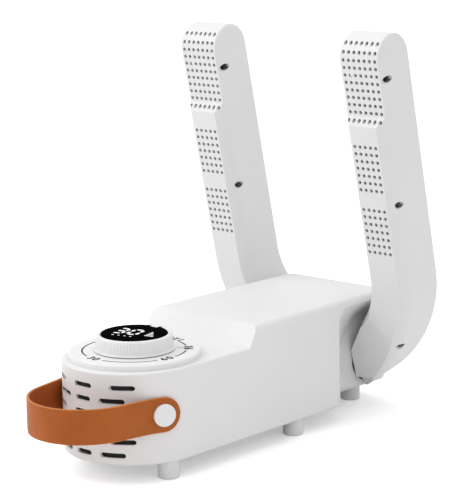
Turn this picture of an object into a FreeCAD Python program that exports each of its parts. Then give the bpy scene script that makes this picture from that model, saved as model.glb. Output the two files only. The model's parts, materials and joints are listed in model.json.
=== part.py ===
import FreeCAD, Part
import math
import os
import re
import Sketcher
from FreeCAD import Placement, Rotation, Vector

# A folding boot dryer: a fan and heater body on feet, with a raised rear block, a time dial and a
# carrying strap at its front, and two hollow perforated arms hinged at the rear.
# Row frame: millimetres, +Z up, -Y towards the dial, origin on the floor under the middle.

SIZES = {
    # body
    "half_width": 54.0, "nose_y": -83.8, "base_z": 13.5, "deck_z": 82.0, "top_z": 98.0,
    "ramp_foot_y": -16.5, "ramp_top_y": -7.1, "rear_y": 177.2, "rear_bow": 8.0, "roll_r": 28.0,
    "wall": 2.2, "edge_r": 6.0, "deck_edge_r": 2.0, "base_round": 1.8, "plate_gap": 0.2, "plate_thick": 2.5,
    # hub recess and pivots
    "recess_y": 88.6, "recess_top_z": 94.0, "recess_hub_r": 37.5,
    "hub_x": 33.6, "pivot_y": 151.0, "pivot_z": 40.0, "spine_half": 31.4, "spine_floor_z": 18.0,
    "spine_slot_half": 19.0, "spine_edge_r": 8.0, "tube_r": 14.0, "tube_bore_r": 12.0, "bush_r": 17.0,
    "running_gap": 0.08, "arm_end_x": 34.8,
    # air slots in the nose
    "slot_high": 3.8, "slot_step": 20.0, "slot_row_z": 31.0, "slot_stagger": 10.0,
    # arms, in the frame of their pivot: z along the arm, y towards its back
    "arm_lean": 12.2, "arm_x": 82.2, "arm_half": 18.7, "arm_front": 17.5, "arm_ridge": 24.0,
    "arm_back": 20.0, "arm_top_z": 257.0, "ramp_high_z": 215.5, "ramp_low_z": 205.0,
    "arm_wall": 2.2, "elbow_z": 78.0, "elbow_r": 90.0, "elbow_turn": 20.0, "sweep_r": 130.0,
    "crook_z": 78.0, "crook_r": 52.0, "crook_low_z": 33.5,
    "ridge_chamfer": 5.8, "ridge_round": 14.0, "crease_x": 58.7, "crease_z": 48.0, "crease_turn": -38.0,
    "crease_tilt": 5.0, "parting_y": 12.0,
    "vent_r": 1.45, "vent_pitch": 5.0, "vent_row": 5.86, "upper_vent_z": 212.12,
    "middle_vent_z": 157.34, "lower_vent_z": 105.78,
    # dial
    "dial_r": 49.0, "dial_top_z": 86.5, "dial_hole_r": 22.4, "knob_r": 28.6, "knob_base_r": 30.0,
    "knob_low_z": 86.9, "knob_high_z": 98.6, "display_r": 24.4, "display_top_z": 99.4,
    # strap
    "strap_thick": 2.0, "strap_wide": 26.0, "strap_z": 50.4, "strap_gap": 0.15, "button_r": 8.4,
    "button_angle": 66.0,
    # feet and fan
    "foot_r": 8.0, "fan_y": 18.0, "fan_z": 54.0, "fan_side": 76.0, "fan_deep": 25.0,
    "fan_bore_r": 36.5,
}
WORD = re.compile(r"[a-z][a-z0-9_]*")

doc = FreeCAD.newDocument("boot_dryer")
sheet = doc.addObject("Spreadsheet::Sheet", "Sizes")
for row, (alias, value) in enumerate(SIZES.items(), 1):
    sheet.set(f"A{row}", alias)
    sheet.set(f"B{row}", str(value))
    sheet.setAlias(f"B{row}", alias)
doc.recompute()


def bound(text):
    """An expression over the sheet, written with bare aliases."""
    return WORD.sub(lambda m: "Sizes." + m.group() if m.group() in SIZES else m.group(), str(text))


def size(text):
    """The number that such an expression gives now."""
    value = sheet.evalExpression(bound(text))
    return float(getattr(value, "Value", value))


# ---------------------------------------------------------------- sketches and features

PLANE_SIGN = {"XY_Plane": 1, "XZ_Plane": -1, "YZ_Plane": 1}


def new_body(label):
    body = doc.addObject("PartDesign::Body", label)
    body.AllowCompound = True
    return body


def origin_item(body, role):
    return next(item for item in body.Origin.OriginFeatures if item.Role == role)


def fix(sk, kind, *where, to):
    """One dimension of a sketch, bound to the sheet."""
    index = sk.addConstraint(Sketcher.Constraint(kind, *where, size(to)))
    sk.setExpression(f"Constraints[{index}]", bound(to))


def fix_point(sk, geo, end, x, y):
    fix(sk, "DistanceX", -1, 1, geo, end, to=x)
    fix(sk, "DistanceY", -1, 1, geo, end, to=y)


def arc_between(start, end, radius):
    """The short arc from start to end; a positive radius bulges to the right of the way there."""
    chord = end - start
    lift = math.sqrt(max(radius * radius - chord.Length ** 2 / 4, 0))
    left = Vector(-chord.y, chord.x, 0).normalize()
    side = 1 if radius > 0 else -1
    centre = (start + end) / 2 + left * lift * side
    first = math.atan2(start.y - centre.y, start.x - centre.x)
    last = math.atan2(end.y - centre.y, end.x - centre.x)
    if side < 0:
        first, last = last, first
    circle = Part.Circle(centre, Vector(0, 0, 1), abs(radius))
    return Part.ArcOfCircle(circle, first, last), side > 0


def draw_outline(sk, corners):
    """A closed outline. A corner is (x, y), or (x, y, r) where the way to it is an arc."""
    points = [Vector(size(c[0]), size(c[1]), 0) for c in corners]
    ends = []
    for k, corner in enumerate(corners):
        start, end = points[k - 1], points[k]
        if len(corner) == 3:
            arc, forward = arc_between(start, end, size(corner[2]))
            geo = sk.addGeometry(arc, False)
            ends.append((geo, 1, 2) if forward else (geo, 2, 1))
        else:
            geo = sk.addGeometry(Part.LineSegment(start, end), False)
            ends.append((geo, 1, 2))
    for k, (geo, start, end) in enumerate(ends):
        before = ends[k - 1]
        sk.addConstraint(Sketcher.Constraint("Coincident", before[0], before[2], geo, start))
        fix_point(sk, geo, end, corners[k][0], corners[k][1])
        if len(corners[k]) == 3:
            fix(sk, "Radius", geo, to=f"abs({corners[k][2]})")


def draw_circle(sk, x, y, radius):
    circle = Part.Circle(Vector(size(x), size(y), 0), Vector(0, 0, 1), size(radius))
    geo = sk.addGeometry(circle, False)
    fix_point(sk, geo, 3, x, y)
    fix(sk, "Radius", geo, to=radius)


def draw_slot(sk, x_low, x_high, y, high):
    """A slot with round ends, along the sketch's x."""
    half = f"({high}) / 2"
    left, right = f"({x_low}) + {half}", f"({x_high}) - {half}"
    low, top = f"({y}) - {half}", f"({y}) + {half}"
    at = [Vector(size(left), size(low), 0), Vector(size(right), size(low), 0),
          Vector(size(right), size(top), 0), Vector(size(left), size(top), 0)]
    bottom = sk.addGeometry(Part.LineSegment(at[0], at[1]), False)
    roof = sk.addGeometry(Part.LineSegment(at[2], at[3]), False)
    middle = (at[0] + at[3]) / 2, (at[1] + at[2]) / 2
    radius = size(half)
    near = sk.addGeometry(Part.ArcOfCircle(Part.Circle(middle[0], Vector(0, 0, 1), radius),
                                           math.pi / 2, 3 * math.pi / 2), False)
    far = sk.addGeometry(Part.ArcOfCircle(Part.Circle(middle[1], Vector(0, 0, 1), radius),
                                          -math.pi / 2, math.pi / 2), False)
    for pair in ((near, 2, bottom, 1), (bottom, 2, far, 1), (far, 2, roof, 1), (roof, 2, near, 1)):
        sk.addConstraint(Sketcher.Constraint("Coincident", *pair))
    fix_point(sk, bottom, 1, left, low)
    fix_point(sk, bottom, 2, right, low)
    fix_point(sk, roof, 1, right, top)
    fix_point(sk, roof, 2, left, top)
    fix(sk, "DistanceX", -1, 1, near, 3, to=left)
    fix(sk, "DistanceX", -1, 1, far, 3, to=right)


def sketch(body, plane, offset="0", outlines=(), circles=(), slots=()):
    """A sketch parallel to one of the body's origin planes, offset along the row's positive axis."""
    sk = body.newObject("Sketcher::SketchObject", body.Label + "_sketch")
    sk.AttachmentSupport = (origin_item(body, plane), "")
    sk.MapMode = "FlatFace"
    sk.setExpression("AttachmentOffset.Base.z", bound(f"{PLANE_SIGN[plane]} * ({offset})"))
    for outline in outlines:
        draw_outline(sk, outline)
    for circle in circles:
        draw_circle(sk, *circle)
    for slot in slots:
        draw_slot(sk, *slot)
    return sk


def extrude(body, kind, sk, length, way="+"):
    """A Pad or Pocket towards the positive or negative axis, or to both sides ("both")."""
    feature = body.newObject("PartDesign::" + kind, f"{body.Label}_{kind.lower()}")
    feature.Profile = sk
    plane = sk.AttachmentSupport[0][0].Role
    along = PLANE_SIGN[plane] * (1 if kind == "Pad" else -1)
    if way == "both":
        feature.SideType = "Symmetric"
    else:
        feature.Reversed = (along < 0) == (way == "+")
    feature.setExpression("Length", bound(length))
    return feature


def pad(body, plane, offset, length, way="+", **shapes):
    return extrude(body, "Pad", sketch(body, plane, offset, **shapes), length, way)


def pocket(body, plane, offset, length, way="+", **shapes):
    return extrude(body, "Pocket", sketch(body, plane, offset, **shapes), length, way)


def turned(label, outline, base=("0", "0", "0"), axis="Z"):
    """A turned piece: the outline is (radius, height) about the axis."""
    body = new_body(label)
    revolution = body.newObject("PartDesign::Revolution", label + "_turn")
    sk = sketch(body, "XZ_Plane", outlines=[outline])
    revolution.Profile = sk
    revolution.ReferenceAxis = (sk, ["V_Axis"])
    body.Tip = revolution
    put(body, base, {"X": (0, 1, 0, 90), "Y": (1, 0, 0, -90), "Z": (1, 0, 0, 0)}[axis])
    return body


def put(item, base, spin=(1, 0, 0, 0)):
    """Place an object: base is three expressions, spin an axis and an angle."""
    item.Placement = Placement(Vector(*[size(b) for b in base]),
                               Rotation(Vector(*spin[:3]), size(spin[3])))
    for name, value in zip("xyz", base):
        item.setExpression(f"Placement.Base.{name}", bound(value))
    return item


def edges_where(body, test):
    doc.recompute()
    found = [f"Edge{k}" for k, edge in enumerate(body.Tip.Shape.Edges, 1) if test(edge)]
    if not found:
        raise ValueError(f"no edge to dress on {body.Label}")
    return found


def dress(body, kind, reach, test):
    """A Fillet or Chamfer on the edges that pass the test."""
    names = edges_where(body, test)
    base = body.Tip
    feature = body.newObject("PartDesign::" + kind, f"{body.Label}_{kind.lower()}")
    feature.Base = (base, names)
    feature.setExpression("Radius" if kind == "Fillet" else "Size", bound(reach))
    return feature


def near(value, target, slack=0.05):
    return abs(value - target) < slack


def flat_at(edge, axis, value):
    """Whether the edge lies in the plane axis = value."""
    box = edge.BoundBox
    low, high = getattr(box, axis + "Min"), getattr(box, axis + "Max")
    return near(low, value) and near(high, value)


def mirrored(body, feature, plane="YZ_Plane"):
    mirror = body.newObject("PartDesign::Mirrored", body.Label + "_mirror")
    mirror.Originals = [feature]
    mirror.MirrorPlane = (origin_item(body, plane), [""])
    body.Tip = mirror
    return mirror


def repeat(body, feature, axis, length, count, second=None):
    """A linear pattern along one origin axis, or along two."""
    pattern = body.newObject("PartDesign::LinearPattern", body.Label + "_row")
    pattern.Originals = [feature]
    pattern.Direction = (origin_item(body, axis), [""])
    pattern.setExpression("Length", bound(length))
    pattern.Occurrences = count
    if second:
        pattern.Direction2 = (origin_item(body, second[0]), [""])
        pattern.setExpression("Length2", bound(second[1]))
        pattern.Occurrences2 = second[2]
    body.Tip = pattern
    return pattern


def boolean(kind, label, base, tool):
    item = doc.addObject("Part::" + kind, label)
    item.Base = base
    item.Tool = tool
    return item


def group(label, items):
    item = doc.addObject("Part::Compound", label)
    item.Links = items
    return item


def mirror_of(label, source):
    item = doc.addObject("Part::Mirroring", label)
    item.Source = source
    item.Normal = Vector(1, 0, 0)
    return item


def free_shape(label, shape):
    item = doc.addObject("Part::Feature", label)
    item.Shape = shape
    return item


def rectangle(x_low, x_high, y_low, y_high):
    return [(x_low, y_low), (x_high, y_low), (x_high, y_high), (x_low, y_high)]


def ring(inner, outer, low, high):
    return rectangle(inner, outer, low, high)


NODES = []


def keep(*items):
    NODES.extend(items)


# ---------------------------------------------------------------- body

SCREW_SPOTS = [("48", "-14"), ("48", "76"), ("-48", "-14"), ("-48", "76")]
FOOT_SPOTS = [("43", "-94.8"), ("-43", "-94.8"), ("43", "45.2"), ("-43", "45.2"),
              ("14", "153"), ("-14", "153")]


def nose_outline(inset, *rest):
    """The half-round nose, then the given corners on the way round the rear."""
    half = f"half_width - ({inset})"
    return [(f"-({half})", "nose_y"), ("0", f"nose_y - ({half})", half), (half, "nose_y", half), *rest]


# The recess beside each pivot, from the side wall to the hub: x, front edge, top edge, corner radius.
RECESS = [("half_width + 0.5", "recess_y", "recess_top_z", "12"),
          ("half_width - 1", "recess_y + 2.2", "recess_top_z - 2.2", "14"),
          ("half_width - 4", "recess_y + 6.3", "recess_top_z - 5.4", "17.5"),
          ("half_width - 10", "recess_y + 14", "recess_top_z - 10", "23"),
          ("half_width - 16", "recess_y + 20.6", "recess_top_z - 13.8", "31"),
          ("hub_x", "pivot_y - recess_hub_r", "pivot_z + recess_hub_r + 1", "recess_hub_r + 1")]


def hub_recess(body):
    """The dished recess beside a pivot: a crease at its front, rolled over smoothly at its top."""
    low, far = "base_z - 20", "rear_y + 20"
    sections = [sketch(body, "YZ_Plane", x,
                       outlines=[[(front, low), (front, f"{top} - ({r})"),
                                  (f"{front} + ({r})", top, f"-({r})"), (far, top), (far, low)]])
                for x, front, top, r in RECESS]
    loft = body.newObject("PartDesign::SubtractiveLoft", body.Label + "_recess")
    loft.Profile = sections[0]
    loft.Sections = sections[1:]
    return loft


def make_housing_form():
    body = new_body("housing_form")
    bow = "(half_width^2 + rear_bow^2) / (2 * rear_bow)"
    side_y = "rear_y - rear_bow"
    plan = nose_outline("0", ("half_width", side_y), ("0", "rear_y", bow),
                        ("-half_width", side_y, bow))
    pad(body, "XY_Plane", "base_z", "top_z - base_z", outlines=[plan])
    front, above = "nose_y - half_width - 5", "top_z + 10"
    step = [(front, "deck_z"), ("ramp_foot_y", "deck_z"), ("ramp_top_y", "top_z"),
            ("ramp_top_y", above), (front, above)]
    pocket(body, "YZ_Plane", "0", "3 * half_width", "both", outlines=[step])
    roll = [("rear_y - roll_r", "top_z"), ("rear_y", "top_z - roll_r", "-roll_r"),
            ("rear_y + 10", "top_z - roll_r"), ("rear_y + 10", above), ("rear_y - roll_r", above)]
    pocket(body, "YZ_Plane", "0", "3 * half_width", "both", outlines=[roll])
    dress(body, "Fillet", "edge_r",
          lambda e: near(abs(e.CenterOfMass.x), size("half_width"), 0.3)
          and e.BoundBox.ZMin > size("deck_z") - 14 and e.BoundBox.YMax > 0
          and e.CenterOfMass.z > size("deck_z") + 1)
    dress(body, "Fillet", "deck_edge_r",
          lambda e: flat_at(e, "Z", size("deck_z")) and e.BoundBox.YMax < size("ramp_foot_y") + 0.1
          and not flat_at(e, "Y", size("ramp_foot_y")))
    dress(body, "Fillet", "base_round", lambda e: flat_at(e, "Z", size("base_z")))
    mirrored(body, hub_recess(body))
    corner = [("hub_x - spine_edge_r", "base_z"), ("hub_x", "base_z + spine_edge_r", "spine_edge_r"),
              ("hub_x + 1", "base_z + spine_edge_r"), ("hub_x + 1", "base_z - 1"),
              ("hub_x - spine_edge_r", "base_z - 1")]
    mirrored(body, pocket(body, "XZ_Plane", "pivot_y - recess_hub_r", "90", outlines=[corner]))
    return body


def make_housing_hollow():
    """The space inside the housing, with its opening below."""
    body = new_body("housing_hollow")
    behind = "recess_y - wall"
    inner = nose_outline("wall", ("half_width - wall", behind), ("-(half_width - wall)", behind))
    pad(body, "XY_Plane", "base_z - 1", "deck_z - wall - base_z + 1", outlines=[inner])
    block = [("ramp_foot_y + 2", "deck_z - wall - 1"), ("ramp_foot_y + 2", "deck_z - wall"),
             ("ramp_top_y + 2", "top_z - wall"), (behind, "top_z - wall"),
             (behind, "deck_z - wall - 1")]
    pad(body, "YZ_Plane", "0", "2 * (half_width - edge_r)", "both", outlines=[block])
    spine = [(f"{behind} - 1", "spine_floor_z"), (f"{behind} - 1", "top_z - wall"),
             ("rear_y - roll_r - 5", "top_z - wall"), ("rear_y - 11", "top_z - 12"),
             ("rear_y - 5.4", "top_z - roll_r - 4"), ("rear_y - 5.4", "spine_floor_z")]
    pad(body, "YZ_Plane", "0", "2 * spine_half", "both", outlines=[spine])
    floor = rectangle("-spine_slot_half", "spine_slot_half", f"{behind} - 1", "rear_y - 5.4")
    pad(body, "XY_Plane", "base_z - 1", "spine_floor_z - base_z + 2", outlines=[floor])
    return body


def make_housing_openings():
    """Dial seat, pivot bushes, mains inlet and the three rows twice over of air slots."""
    seat = new_body("dial_seat")
    pad(seat, "XY_Plane", "deck_z - wall - 1", "wall + 5", circles=[("0", "nose_y", "40")])
    bores = new_body("bush_bores")
    pad(bores, "YZ_Plane", "0", "2 * hub_x + 4", "both", circles=[("pivot_y", "pivot_z", "bush_r + 0.1")])
    inlet = new_body("inlet_opening")
    pad(inlet, "XZ_Plane", "rear_y - 12", "20", outlines=[rectangle("-11", "11", "28", "44")])
    front = "nose_y - half_width - 3"
    rows = []
    for name, spans, z in (("wide_slots", ((-9, 9), (24, 44.7), (-44.7, -24)), "slot_row_z"),
                           ("narrow_slots", ((-7.5, 7.5), (15.2, 36.5), (-36.5, -15.2)),
                            "slot_row_z - slot_stagger")):
        body = new_body(name)
        slots = [(f"half_width * sin({low})", f"half_width * sin({high})", z, "slot_high")
                 for low, high in spans]
        row = pad(body, "XZ_Plane", front, "24", slots=slots)
        repeat(body, row, "Z_Axis", "2 * slot_step", 3)
        rows.append(body)
    screw_bores = new_body("housing_screw_bores")
    pad(screw_bores, "XY_Plane", "base_z", "20", circles=[(x, y, "1.35") for x, y in SCREW_SPOTS])
    return [seat, bores, inlet, *rows, screw_bores, strap_screw_holes("nose_screw_holes")]


def make_housing():
    posts = new_body("housing_posts")
    pad(posts, "XY_Plane", "base_z + plate_thick + plate_gap", "24",
        circles=[(x, y, "4") for x, y in SCREW_SPOTS])
    hollow = boolean("Cut", "housing_shell", make_housing_form(), make_housing_hollow())
    whole = boolean("Fuse", "housing_with_posts", hollow, posts)
    return boolean("Cut", "main_housing", whole, group("housing_openings", make_housing_openings()))


def strap_screw_holes(label):
    """Radial clearance cylinders through the nose wall and the strap."""
    centre = Vector(0, size("nose_y"), size("strap_z"))
    pins = []
    for side in (1, -1):
        angle = math.radians(size("button_angle")) * side
        way = Vector(math.sin(angle), -math.cos(angle), 0)
        pins.append(Part.makeCylinder(2.2, 14, centre + way * (size("half_width") - 8), way))
    return free_shape(label, Part.makeCompound(pins))


def make_base_plate():
    body = new_body("base_plate")
    edge, slot = "half_width - wall - plate_gap", "spine_slot_half - plate_gap"
    rear = "recess_y - wall - plate_gap"
    far = "rear_y - 5.4 - plate_gap"
    plan = nose_outline("wall + plate_gap", (edge, rear), (slot, rear), (slot, far),
                        (f"-({slot})", far), (f"-({slot})", rear), (f"-({edge})", rear))
    pad(body, "XY_Plane", "base_z", "plate_thick", outlines=[plan])
    pocket(body, "XY_Plane", "base_z", "plate_thick", circles=[(x, y, "1.6") for x, y in SCREW_SPOTS])
    pocket(body, "XY_Plane", "base_z", "1.4", circles=[(x, y, "3.1") for x, y in SCREW_SPOTS])
    pocket(body, "XY_Plane", "base_z", "plate_thick",
           slots=[("-26", "26", f"{y}", "3.2") for y in range(-60, -23, 6)])
    return body


def make_feet():
    body = new_body("feet")
    pad(body, "XY_Plane", "0", "base_z", circles=[(x, y, "foot_r") for x, y in FOOT_SPOTS])
    dress(body, "Fillet", "1", lambda e: flat_at(e, "Z", 0))
    return body


def make_base_screws():
    body = new_body("base_screws")
    pad(body, "XY_Plane", "base_z + 0.1", "1.3", circles=[(x, y, "2.9") for x, y in SCREW_SPOTS])
    pad(body, "XY_Plane", "base_z + 0.1", "14", circles=[(x, y, "1.3") for x, y in SCREW_SPOTS])
    return body


def make_intake_filter():
    """A shallow curved sheet that backs the air slots."""
    body = new_body("intake_filter")
    outer, inner = "(half_width - wall - 0.3)", "(half_width - wall - 1.5)"
    outline = [(f"-{outer} * sin(50)", f"nose_y - {outer} * cos(50)"),
               ("0", f"nose_y - {outer}", outer),
               (f"{outer} * sin(50)", f"nose_y - {outer} * cos(50)", outer),
               (f"{inner} * sin(50)", f"nose_y - {inner} * cos(50)"),
               ("0", f"nose_y - {inner}", f"-{inner}"),
               (f"-{inner} * sin(50)", f"nose_y - {inner} * cos(50)", f"-{inner}")]
    pad(body, "XY_Plane", "base_z + plate_thick", "60", outlines=[outline])
    return body


# ---------------------------------------------------------------- dial and display

def make_dial_plate():
    top, low = "dial_top_z", "deck_z"
    outline = [("dial_hole_r", f"{top} - 2.2"), ("37.8", f"{top} - 2.2"), ("37.8", f"{low} - 2.6"),
               ("39.7", f"{low} - 2.6"), ("39.7", f"{top} - 2.2"), ("dial_r - 2.2", f"{top} - 2.2"),
               ("dial_r - 2.2", low), ("dial_r", low), ("dial_r", f"{top} - 1.6"),
               ("dial_r - 1.6", top, "1.6"), ("dial_hole_r", top)]
    return turned("dial_plate", outline, ("0", "nose_y", "0"))


def make_knob():
    low, high = "knob_low_z", "knob_high_z"
    outline = [("20", "76"), ("21.8", "76"), ("21.8", f"{low}"), ("knob_base_r", low),
               ("knob_base_r", f"{low} + 1"), ("knob_r", f"{low} + 1.4"),
               ("knob_r - 0.5", f"{high} - 1"), ("knob_r - 1.5", high, "1"), ("25", high),
               ("25", f"{low} + 3.6"), ("20", f"{low} + 3.6")]
    return turned("knob", outline, ("0", "nose_y", "0"))


def make_display():
    column = [("12", "70"), ("19.4", "70"), ("19.4", "91.2"), ("display_r", "91.2"),
              ("display_r", "97.6"), ("display_r - 1.4", "97.6"), ("display_r - 1.4", "93"),
              ("12", "93")]
    window = [("0", "display_top_z - 1.7"), ("display_r", "display_top_z - 1.7"),
              ("display_r", "display_top_z - 0.5"), ("display_r - 0.5", "display_top_z", "0.5"),
              ("0", "display_top_z")]
    board = [("0", "94.5"), ("22.4", "94.5"), ("22.4", "96"), ("0", "96")]
    at = ("0", "nose_y", "0")
    return [turned("display_column", column, at), turned("display_window", window, at),
            turned("display_board", board, at)]


def make_knob_parts():
    at = ("0", "nose_y", "0")
    clip = turned("knob_clip", ring("21.8", "25", "82.6", "84"), at)
    encoder = turned("encoder_ring", ring("22.6", "33", "70", "75"), at)
    bracket = new_body("dial_bracket")
    pad(bracket, "XY_Plane", "67.5", "2.5",
        outlines=[rectangle("-36", "36", "nose_y - 30", "nose_y + 30")])
    pad(bracket, "XY_Plane", "base_z + plate_thick", "68 - base_z - plate_thick",
        circles=[(x, f"nose_y + {y}", "3.4") for x in ("-31", "31") for y in ("-24", "24")])
    return [clip, encoder, bracket]


# ---------------------------------------------------------------- strap

def from_front(radius, degrees):
    """A point about the middle of the nose, the angle counted from the front."""
    angle = math.radians(degrees)
    return Vector(radius * math.sin(angle), size("nose_y") - radius * math.cos(angle), 0)


def strap_half(offset):
    """Right half of an edge of the band, offset from its middle line, from the end to the front.

    The band hugs the nose, leaves it in a reverse bend, runs straight and closes in a round front.
    """
    leave, lean, bend = 64, 11, 50.0
    middle = size("half_width + strap_gap + strap_thick / 2")
    end_angle = size("button_angle") + math.degrees(size("strap_wide") / 2 / middle)
    bend_centre = from_front(middle + bend, leave)
    cos_lean, sin_lean = math.cos(math.radians(lean)), math.sin(math.radians(lean))
    inward = Vector(-cos_lean, sin_lean, 0)
    straight = bend_centre + inward * bend
    front = size("strap_thick / 2 - rear_y")
    run = ((front - straight.y) * cos_lean + straight.x * (1 - sin_lean)) / (sin_lean - 1)
    radius = (straight.x - run * sin_lean) / cos_lean
    nose = Vector(0, front + radius, 0)
    return [(from_front(middle + offset, end_angle), 0),
            (from_front(middle + offset, leave), -(middle + offset)),
            (bend_centre + inward * (bend - offset), bend - offset),
            (nose - inward * (radius + offset), 0),
            (nose - Vector(0, radius + offset, 0), -(radius + offset))]


def strap_edge(offset, way):
    """A whole edge of the band: way 1 runs right to left, way -1 back again."""
    half = strap_half(offset)
    back = [(half[k][0], half[k + 1][1]) for k in range(len(half) - 2, -1, -1)]
    right = [(point.x, point.y, radius) for point, radius in half]
    left = [(-point.x, point.y, radius) for point, radius in back]
    corners = [(way * x, y, way * radius) for x, y, radius in right + left]
    return [(f"{x}", f"{y}", f"{radius}")[:3 if radius else 2] for x, y, radius in corners]


def make_strap():
    body = new_body("strap_blank")
    half = size("strap_thick") / 2
    pad(body, "XY_Plane", "strap_z - strap_wide / 2", "strap_wide",
        outlines=[strap_edge(half, 1) + strap_edge(-half, -1)])
    rear = from_front(size("half_width"), size("button_angle")).y
    dress(body, "Fillet", "strap_wide / 2 - 0.1",
          lambda e: near(e.Length, size("strap_thick"), 0.1) and e.BoundBox.ZLength < 0.01
          and e.CenterOfMass.y > rear)
    return boolean("Cut", "carry_strap", body, strap_screw_holes("strap_holes"))


def radial_pin(label, outline):
    """A turned piece on the right strap end, its axis square to the nose."""
    piece = turned(label + "_right", outline)
    piece.Placement = Placement(Vector(0, size("nose_y"), size("strap_z")),
                                Rotation(Vector(0, 0, 1), size("button_angle") - 90)
                                * Rotation(Vector(0, 1, 0), 90))
    piece.setExpression("Placement.Base.y", bound("nose_y"))
    piece.setExpression("Placement.Base.z", bound("strap_z"))
    return group(label, [piece, mirror_of(label + "_left", piece)])


# ---------------------------------------------------------------- arms

SWEEP_CENTRE = ("(arm_x + arm_half - elbow_r - (sweep_r - elbow_r) * cos(elbow_turn))",
                "(elbow_z + (sweep_r - elbow_r) * sin(elbow_turn))")


def end_corner(y, z, r, side, inset):
    """What rounding takes from a front corner at y, z: side 1 for an upper corner, -1 for a lower."""
    front, far = f"{y} + {inset}", f"{z} - {side} * {inset}"
    round_r = f"({r} - 0.9 * {inset})"
    start = (f"{front} + {round_r}", far)
    out = f"{far} + {side} * 4"
    corners = [start, (f"{front} + {round_r}", out), (f"{front} - 4", out),
               (f"{front} - 4", f"{far} - {side} * {round_r}"), (front, f"{far} - {side} * {round_r}")]
    return [(*start, f"{side} * {round_r}"), *corners[1:]]


def arm_length(label, inset, end_x):
    """The arm below its head, or with an inset the hollow there: z up the arm, y to its back."""
    body = new_body(label)
    front, ridge, back = f"-arm_front + {inset}", f"-arm_ridge + {inset}", f"arm_back - {inset}"
    outer_x, inner_x = f"arm_x + arm_half - {inset}", f"arm_x - arm_half + {inset}"
    neck = f"ramp_high_z - 0.6 * {inset}"

    pad(body, "YZ_Plane", end_x, f"arm_x + arm_half + 5 - ({end_x})",
        outlines=[rectangle(ridge, back, "-60", neck)])
    turn_x = "(arm_x + arm_half - elbow_r)"
    knee_r = f"(elbow_r - {inset})"
    sweep_x, sweep_z = SWEEP_CENTRE
    foot = f"{sweep_z} - sqrt((sweep_r - {inset})^2 - (arm_end_x - {sweep_x})^2)"
    crook_way = "asin((crook_z - crook_low_z) / crook_r)"
    crook = (f"arm_x - arm_half - crook_r + (crook_r + {inset}) * cos({crook_way})",
             f"crook_z - (crook_r + {inset}) * sin({crook_way})")
    front_view = [(inner_x, "ramp_high_z + 10"), (inner_x, "crook_z"),
                  (*crook, f"-(crook_r + {inset})"),
                  ("arm_end_x", f"{crook[1]} - ({crook[0]} - arm_end_x) / tan({crook_way})"),
                  ("arm_end_x", foot),
                  (f"{turn_x} + {knee_r} * cos(elbow_turn)", f"elbow_z - {knee_r} * sin(elbow_turn)",
                   f"sweep_r - {inset}"),
                  (outer_x, "elbow_z", f"elbow_r - {inset}"),
                  (outer_x, "ramp_high_z + 10")]
    frame = rectangle("-20", "arm_x + 80", "-90", "ramp_high_z + 40")
    pocket(body, "XZ_Plane", "0", "4 * arm_ridge", "both", outlines=[frame, front_view])
    dress(body, "Chamfer", f"ridge_chamfer - 0.6 * {inset}",
          lambda e: flat_at(e, "Y", size(ridge)) and not flat_at(e, "X", size(end_x))
          and not flat_at(e, "Z", size(neck)))
    dress(body, "Fillet", f"ridge_round - {inset}",
          lambda e: flat_at(e, "Y", size(f"{ridge} + ridge_chamfer - 0.6 * {inset}"))
          and not flat_at(e, "X", size(end_x)) and not flat_at(e, "Z", size(neck)))
    facet = sketch(body, "XZ_Plane", ridge, outlines=[rectangle("-70", "60", "-130", "0")])
    turn = Rotation(Vector(0, 0, 1), size("crease_turn")) * Rotation(Vector(1, 0, 0), size("crease_tilt"))
    facet.AttachmentOffset = Placement(Vector(size("crease_x"), size("crease_z"), -size(ridge)), turn)
    facet.setExpression("AttachmentOffset.Base.x", bound("crease_x"))
    facet.setExpression("AttachmentOffset.Base.y", bound("crease_z"))
    extrude(body, "Pocket", facet, "40", "-")

    # the corners of the end, more and more rounded towards the pivot
    foot_z = f"({SWEEP_CENTRE[1]} - sqrt(sweep_r^2 - (30 - {SWEEP_CENTRE[0]})^2))"
    for (y, z, r), (thin_y, thin_z, thin_r), side in (
            ((-20.5, "27.5", 21.5), (-24.3, "50.6", 5.0), 1),
            ((-20.0, f"({foot_z} - 1)", 14.0), (-24.3, f"({foot_z} + 16)", 4.0), -1)):
        sections = [sketch(body, "YZ_Plane", x, outlines=[end_corner(a, b, c, side, inset)])
                    for x, a, b, c in (("30", y, z, r), ("56", thin_y, thin_z, thin_r))]
        loft = body.newObject("PartDesign::SubtractiveLoft", f"{label}_corner")
        loft.Profile = sections[0]
        loft.Sections = [sections[1]]
        loft.Ruled = True
        body.Tip = loft

    low = f"ramp_low_z - 0.6 * {inset}"
    slope = "(arm_ridge - arm_front) / (ramp_high_z - ramp_low_z)"
    ramp = [(f"{ridge} - 4", f"{low} - 4 / {slope}"), (front, neck), (front, f"{neck} + 5"),
            (f"{ridge} - 4", f"{neck} + 5")]
    pocket(body, "YZ_Plane", inner_x, f"2 * arm_half - 2 * {inset}", outlines=[ramp])
    return body


def add_head(body, inset):
    """The arm's plain head with its half-round top."""
    front, back = f"-arm_front + {inset}", f"arm_back - {inset}"
    neck = f"ramp_high_z - 0.6 * {inset}"
    round_r = f"((arm_front + arm_back) / 2 - {inset})"
    outline = [(front, neck), (back, neck), (back, "arm_top_z"),
               ("(arm_back - arm_front) / 2", f"arm_top_z + {round_r}", round_r),
               (front, "arm_top_z", round_r)]
    pad(body, "YZ_Plane", f"arm_x - arm_half + {inset}", f"2 * arm_half - 2 * {inset}", outlines=[outline])
    return body


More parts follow.
